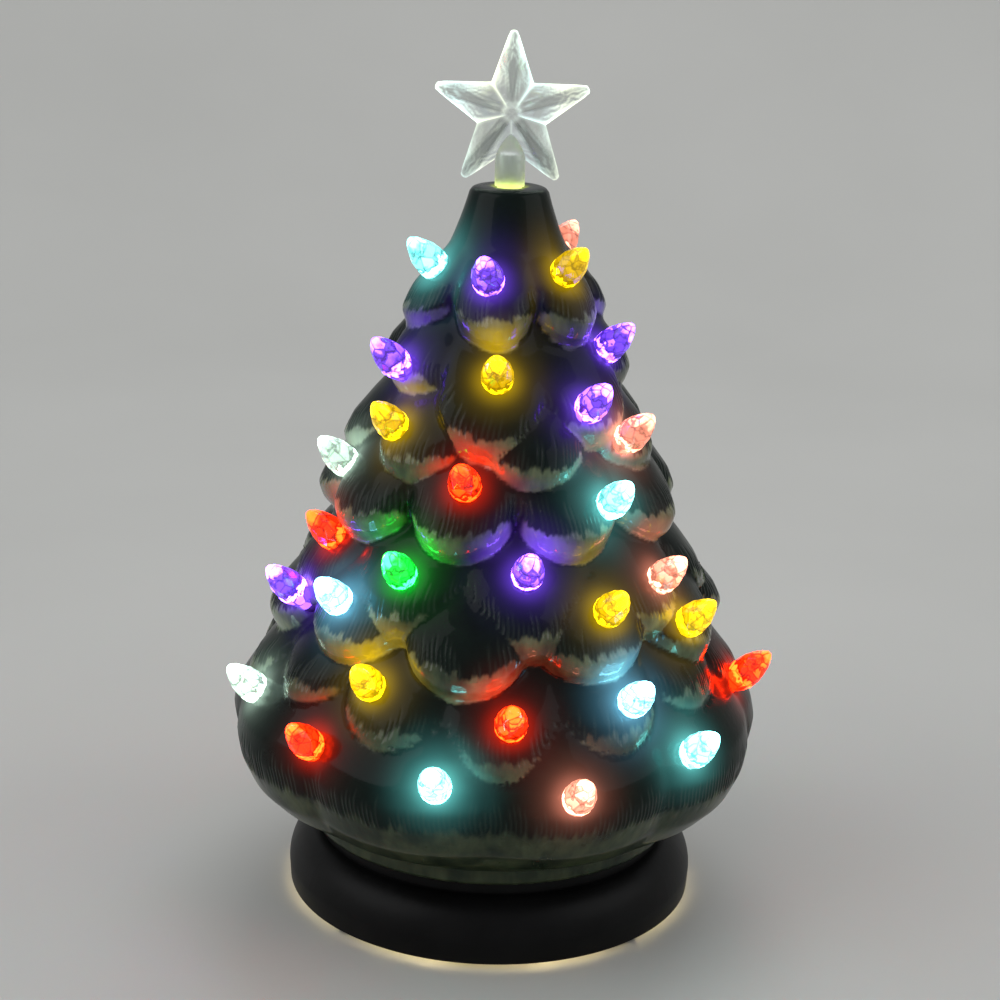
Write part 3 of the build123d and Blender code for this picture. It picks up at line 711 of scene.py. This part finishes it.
def lamps(colour):
    """All pegs of one colour, with each point's height on its lamp and the lamp's power."""
    seats = lamp_frames(f"{colour}_lamps")
    chance = random.Random(len(colour) * 7 + ord(colour[0]))
    work = bmesh.new()
    for seat, axis in seats:
        turn = axis.to_track_quat("Z", "Y").to_matrix().to_4x4()
        cut_lamp(work, Matrix.Translation(seat) @ turn @ Matrix.Rotation(chance.uniform(0, 0.7), 4, "Z"))
    mesh = bpy.data.meshes.new(f"{colour}_lamp_pegs")
    work.to_mesh(mesh)
    work.free()
    made = new_object(f"{colour}_lamp_pegs", mesh)
    bevel = made.modifiers.new("round", "BEVEL")
    bevel.width = 0.28 * MM
    bevel.segments = 2
    bevel.limit_method = "ANGLE"
    bevel.angle_limit = math.radians(8)
    apply_modifiers(made)
    mesh = made.data
    finder = KDTree(len(seats))
    for k, (seat, axis) in enumerate(seats):
        finder.insert(seat + axis * 6 * MM, k)
    finder.balance()
    height, power = [], []
    for vertex in mesh.vertices:
        seat, axis = seats[finder.find(vertex.co)[1]]
        height.append(0.2 + 0.8 * (vertex.co - seat).dot(axis) / (LAMP_TIP * MM))
        power.append(np.interp(seat.z / MM, *LAMP_POWER))
    store(mesh, "height", np.array(height))
    store(mesh, "power", np.array(power))
    return keep(made, lamp_glow(colour), "tree", f"{colour}_lamp", f"{colour}_lamps")


# Star


def arm_places(points):
    """Arm that each point of the star is on, and the place along and across that arm."""
    x, z = points[:, 0], points[:, 2] - STAR_CENTRE
    arm = np.round(np.degrees(np.arctan2(x, z)) / ARM_TURN)
    turn = np.radians(ARM_TURN * arm)
    return arm, x * np.sin(turn) + z * np.cos(turn), x * np.cos(turn) - z * np.sin(turn)


def round_tips(points):
    """Points of the star with its blunt tips made round."""
    arm, length, side = arm_places(points)
    start = STAR_REACH - TIP_ROUND
    bow = np.sqrt(np.maximum(TIP_ROUND ** 2 - side ** 2, 0.0)) / TIP_ROUND
    length = np.where(length > start, start + (length - start) * bow, length)
    turn = np.radians(ARM_TURN * arm)
    moved = points.copy()
    moved[:, 0] = length * np.sin(turn) + side * np.cos(turn)
    moved[:, 2] = STAR_CENTRE + length * np.cos(turn) - side * np.sin(turn)
    return moved


def guided_light(points):
    """Light carried along the star's edges and folds, painted shade on its flat facets, ribs and stem, and the stem's
    frost.
    """
    x, z = points[:, 0], points[:, 2]
    arm, length, side = arm_places(points)
    hand, side = np.sign(side), np.abs(side)
    radius = np.hypot(length, side)
    half_arm = math.radians(ARM_TURN / 2)
    corner = STAR_INNER * np.array([math.cos(half_arm), math.sin(half_arm)])
    tip = np.array([STAR_REACH, STAR_TIP / 2])
    run = (corner - tip) / np.linalg.norm(corner - tip)
    inset = np.abs((length - tip[0]) * run[1] - (side - tip[1]) * run[0])
    end = STAR_REACH - TIP_ROUND
    inset = np.where(length > end, np.maximum(TIP_ROUND - np.hypot(length - end, side), 0.0), inset)
    valley = radius * np.sin(half_arm - np.arctan2(side, length))
    low = np.abs(arm) == 2

    # Edges, the lines inside them, the valleys between arms, the ribs along them and the boss in the middle
    phase = 2.1 * arm + 3.0 * hand
    wander = 2.4 * np.sin(0.5 * length + phase) + 1.1 * np.sin(1.3 * length + 4.0 * arm - hand)
    streak = (0.5 + 0.5 * np.sin(3.0 * inset + wander)) ** 2
    patch = 0.5 + 0.5 * np.sin(0.40 * length + 1.3 * phase)
    glow = 0.75 * np.exp(-(inset / 0.65) ** 2)
    glow += 0.34 * patch * np.exp(-((inset - 1.3) / 1.1) ** 2)
    glow += 0.34 * streak * smooth_step(6.0, 3.0, inset) * smooth_step(9.0, 14.0, length)
    broad = 0.30 + np.where((hand * (arm + 0.5) > 0) & (np.abs(arm) < 2), 0.08, 0.03) * radius
    glow += 0.50 * np.exp(-(valley / broad) ** 2) * smooth_step(2.0, 5.0, radius)
    rib = side - 0.10 * length - 0.6
    glow += 0.30 * patch * np.exp(-(rib / 0.35) ** 2) * smooth_step(4.0, 8.0, length)
    glow += 0.18 * np.exp(-((radius - 3.0) / 0.8) ** 2)
    glow *= np.where(low, 0.40, 1.0)

    # Painted shade on the flat facets and beside the ribs, and the stem with its own light and painted shade
    facet = smooth_step(0.5, -0.5, rib) * smooth_step(2.0, 5.0, length) * smooth_step(0.6, 1.6, inset)
    shade = np.where(low, 0.75, 0.30) * facet + 0.35 * np.exp(-((rib + 0.9) / 0.4) ** 2) * (length > 5)
    heights, widths = zip(*STEM_PROFILE)
    stem = (np.hypot(x, points[:, 1]) < np.interp(z, heights, widths) + 0.4) & (z < heights[-1])
    light = np.ones((len(points), 4), np.float32)
    tint = np.stack([0.82 - 0.12 * np.sin(0.2 * x), np.ones(len(x)), 0.84 + 0.12 * np.sin(0.2 * x)], 1)
    seat = 0.4 * smooth_step(CROWN_TOP + 3.0, CROWN_TOP, z)[:, None] * np.array((0.80, 0.95, 0.18))
    light[:, :3] = np.where(stem[:, None], seat, glow[:, None] * tint)
    return light, np.where(stem, 0.30, np.clip(shade, 0.0, 1.0)), stem.astype(float)


def star():
    """Clear star with its edges rounded, cut fine enough to carry its light."""
    made = rounded_copy("star_topper", "star_clear", 0.3 * MM, 12)
    work = bmesh.new()
    work.from_mesh(made.data)
    bmesh.ops.triangulate(work, faces=work.faces)
    for _ in range(5):
        edges = [edge for edge in work.edges if edge.calc_length() > 1.2 * MM]
        bmesh.ops.subdivide_edges(work, edges=edges, cuts=1)
        bmesh.ops.triangulate(work, faces=work.faces)
    work.to_mesh(made.data)
    work.free()
    mesh = made.data
    if "custom_normal" in mesh.attributes:
        mesh.attributes.remove(mesh.attributes["custom_normal"])
    mesh.shade_smooth()
    mesh.set_sharp_from_angle(angle=math.radians(24))
    points = round_tips(coordinates(mesh))
    mesh.vertices.foreach_set("co", (points * MM).astype(np.float32).ravel())
    light, shade, frost = guided_light(points)
    store(mesh, "shade", shade)
    store(mesh, "frost", frost)
    store_colour(mesh, "guided", light)
    return keep(made, clear_star(), "star", "clear_plastic", "star_topper")


# Floor, light and camera


def floor():
    """Pale floor that turns up into a low backdrop on every side."""
    profile = [(0.0, 0.0), (FLOOR_FLAT, 0.0)]
    for k in range(1, 9):
        turn = math.radians(FLOOR_ANGLE * k / 8)
        profile.append((FLOOR_FLAT + FLOOR_BEND * math.sin(turn), FLOOR_BEND - FLOOR_BEND * math.cos(turn)))
    profile.append(FLOOR_RIM)
    work = bmesh.new()
    line = [work.verts.new((radius, 0.0, height)) for radius, height in profile]
    line += [work.edges.new(pair) for pair in zip(line, line[1:])]
    bmesh.ops.spin(work, geom=line, cent=(0, 0, 0), axis=(0, 0, 1), steps=72, angle=2 * math.pi)
    bmesh.ops.remove_doubles(work, verts=work.verts, dist=MERGE)
    mesh = bpy.data.meshes.new("studio_floor")
    work.to_mesh(mesh)
    work.free()
    mesh.shade_smooth()
    made = new_object("studio_floor", mesh)
    surface = Surface("pale_floor", Roughness=0.6)
    cloud = surface.noise(3.0, 3.0)
    surface.feed(surface.shader.inputs["Base Color"], surface.ramp(cloud, (0.3, (0.50, 0.50, 0.48)),
                                                                   (0.7, (0.53, 0.53, 0.51))))
    made.data.materials.append(surface.material)


def soft_light(name, place, target, size, energy):
    """Square studio lamp that faces a point."""
    data = bpy.data.lights.new(name, "AREA")
    data.size = size
    data.energy = energy
    made = bpy.data.objects.new(name, data)
    made.location = place
    made.rotation_euler = (Vector(target) - Vector(place)).to_track_quat("-Z", "Y").to_euler()
    bpy.context.scene.collection.objects.link(made)


def lights():
    """Soft light all round, and the glow that leaks from under the plinth."""
    world = bpy.data.worlds.new("studio")
    world.use_nodes = True
    world.node_tree.nodes["Background"].inputs["Color"].default_value = (0.82, 0.84, 0.86, 1.0)
    world.node_tree.nodes["Background"].inputs["Strength"].default_value = 0.50
    bpy.context.scene.world = world
    soft_light("key", (-1.5, -0.5, 1.3), (0, 0, 0.2), 1.9, 15.0)
    soft_light("fill", (1.6, -0.4, 1.1), (0, 0, 0.2), 1.8, 9.0)
    soft_light("back", (0.2, 1.0, 1.5), (0, 0, 0.2), 1.2, 8.0)
    for k in range(8):
        turn = math.radians(45 * k + 22.5)
        data = bpy.data.lights.new(f"leak_{k}", "POINT")
        data.energy = 0.03
        data.color = (1.0, 0.80, 0.42)
        data.shadow_soft_size = 0.004
        made = bpy.data.objects.new(f"leak_{k}", data)
        made.location = (0.066 * math.cos(turn), 0.066 * math.sin(turn), 0.010)
        bpy.context.scene.collection.objects.link(made)


def camera():
    """The photograph's view: a little above, looking down, rolled slightly."""
    data = bpy.data.cameras.new("photo_view")
    data.sensor_width = 36.0
    data.lens = CAMERA_LENS
    made = bpy.data.objects.new("photo_view", data)
    pitch = Matrix.Rotation(math.radians(90 - CAMERA_PITCH), 4, "X")
    roll = Matrix.Rotation(math.radians(CAMERA_ROLL), 4, "Z")
    made.matrix_world = Matrix.Translation(CAMERA_PLACE) @ pitch @ roll
    bpy.context.scene.collection.objects.link(made)
    bpy.context.scene.camera = made


def inner_pieces():
    """Plinth and all that it holds."""
    black = plastic("black_plastic", (0.003, 0.003, 0.0033), 0.40, shine=0.12)
    white = plastic("white_plastic", (0.78, 0.77, 0.73), 0.42)
    keep(rounded_copy("base_plinth", "plinth_moulded", 0.6 * MM), black, "base", "black_plastic", "base_plinth")
    keep(rounded_copy("light_tray", "tray_moulded", 0.25 * MM), white, "base", "white_plastic", "light_tray")
    keep(rounded_copy("battery_cover", "cover_moulded", 0.3 * MM), white, "cover", "white_plastic", "battery_cover")
    keep(rounded_copy("switch_knob", "knob_moulded", 0.25 * MM), white, "knob", "white_plastic", "switch_knob")
    finishes = {
        "switch_body": black,
        "light_dome": lit_plastic("frosted_plastic", (1.0, 0.86, 0.58), 2.5),
        "led_board": plastic("board_lacquer", (0.02, 0.13, 0.05), 0.3),
    }
    rubber = plastic("rubber", (0.02, 0.02, 0.02), 0.75, 1400.0, 0.0001)
    lens = lit_plastic("lamp_lens", (1.0, 0.85, 0.55), 4.0)
    steel = metal("plated_steel", (0.62, 0.61, 0.58))
    jacket = plastic("cell_jacket", (0.05, 0.06, 0.08), 0.25)
    red = plastic("red_insulation", (0.42, 0.02, 0.02), 0.4)
    for node in NODES:
        if node.startswith("foot_pad"):
            finishes[node] = rubber
        elif node.startswith("led_") and node != "led_board":
            finishes[node] = lens
        elif node.startswith("contact") or node == "tray_screws":
            finishes[node] = steel
        elif node.startswith("cell"):
            finishes[node] = jacket
        elif node.startswith("lead"):
            finishes[node] = black if node == "lead_negative" else red
    for node, material in finishes.items():
        NODES[node].data.materials.clear()
        NODES[node].data.materials.append(material)


tree_shell()
for lamp_colour in LAMP_LIGHT:
    lamps(lamp_colour)
star()
inner_pieces()
floor()
lights()
camera()
bpy.context.scene.view_settings.view_transform = "Standard"
